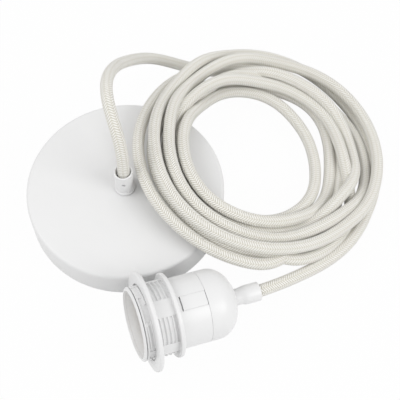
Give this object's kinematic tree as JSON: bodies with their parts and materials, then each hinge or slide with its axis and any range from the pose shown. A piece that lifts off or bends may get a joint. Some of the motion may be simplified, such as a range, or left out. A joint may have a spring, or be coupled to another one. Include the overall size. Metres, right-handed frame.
{
  "type": "pendant light",
  "caption": "White pendant light: round ceiling rose, cord grip, loosely coiled ivory cloth cord and a threaded lamp holder with a screw-on shade ring.",
  "frame": {"origin": "centre of the ceiling rose, on the plane of its open rim, which lies on the table here and on the ceiling when it hangs", "axes": "+Z out of the rose's flat face, away from the ceiling plane; +X towards the coil; the lamp holder lies towards -Y with its mouth towards -X"},
  "size_m": [0.2158, 0.2209, 0.0793],
  "materials": {
    "white_plastic": "fine satin moulded white plastic",
    "rose_paint": "satin white powder coat on pressed steel",
    "cord_cloth": "ivory cloth braid in a fine herringbone",
    "zinc_plate": "zinc plated steel",
    "screw_steel": "plain bright steel screw",
    "brass": "bright brass contact metal",
    "ceramic": null,
    "natural_nylon": "natural translucent nylon",
    "brown_core": "brown core insulation",
    "blue_core": "blue core insulation",
    "earth_core": "green earth wire insulation"
  },
  "bodies": {
    "pendant": {"centre_contact": "brass", "cord_coil": "cord_cloth", "cord_from_rose": "cord_cloth", "cord_to_holder": "cord_cloth", "holder_cap": "white_plastic", "holder_grip": "white_plastic", "holder_grip_screw": "screw_steel", "holder_insert": "ceramic", "holder_liner": "white_plastic", "holder_nut": "zinc_plate", "holder_skirt": "white_plastic", "holder_terminal_live": "brass", "holder_terminal_neutral": "brass", "holder_terminal_screw_live": "screw_steel", "holder_terminal_screw_neutral": "screw_steel", "holder_wire_live": "brown_core", "holder_wire_neutral": "blue_core", "rose_cup": "rose_paint", "rose_earth_screw": "brass", "rose_grip": "white_plastic", "rose_grip_screw": "screw_steel", "rose_nut": "zinc_plate", "rose_side_screw_1": "screw_steel", "rose_side_screw_2": "screw_steel", "rose_strap": "zinc_plate", "rose_terminal_1": "brass", "rose_terminal_2": "brass", "rose_terminal_3": "brass", "rose_terminal_block": "natural_nylon", "rose_terminal_screw_1": "screw_steel", "rose_terminal_screw_2": "screw_steel", "rose_terminal_screw_3": "screw_steel", "rose_washer": "zinc_plate", "rose_wire_earth": "earth_core", "rose_wire_live": "brown_core", "rose_wire_neutral": "blue_core", "screw_shell": "brass"},
    "ring": {"shade_ring": "white_plastic"}
  },
  "joints": [
    {"name": "shade_ring_travel", "type": "slide", "parent": "pendant", "child": "ring", "axis": [-0.9363, -0.3224, 0.1392], "range_m": [-0.011, 0.005]}
  ]
}
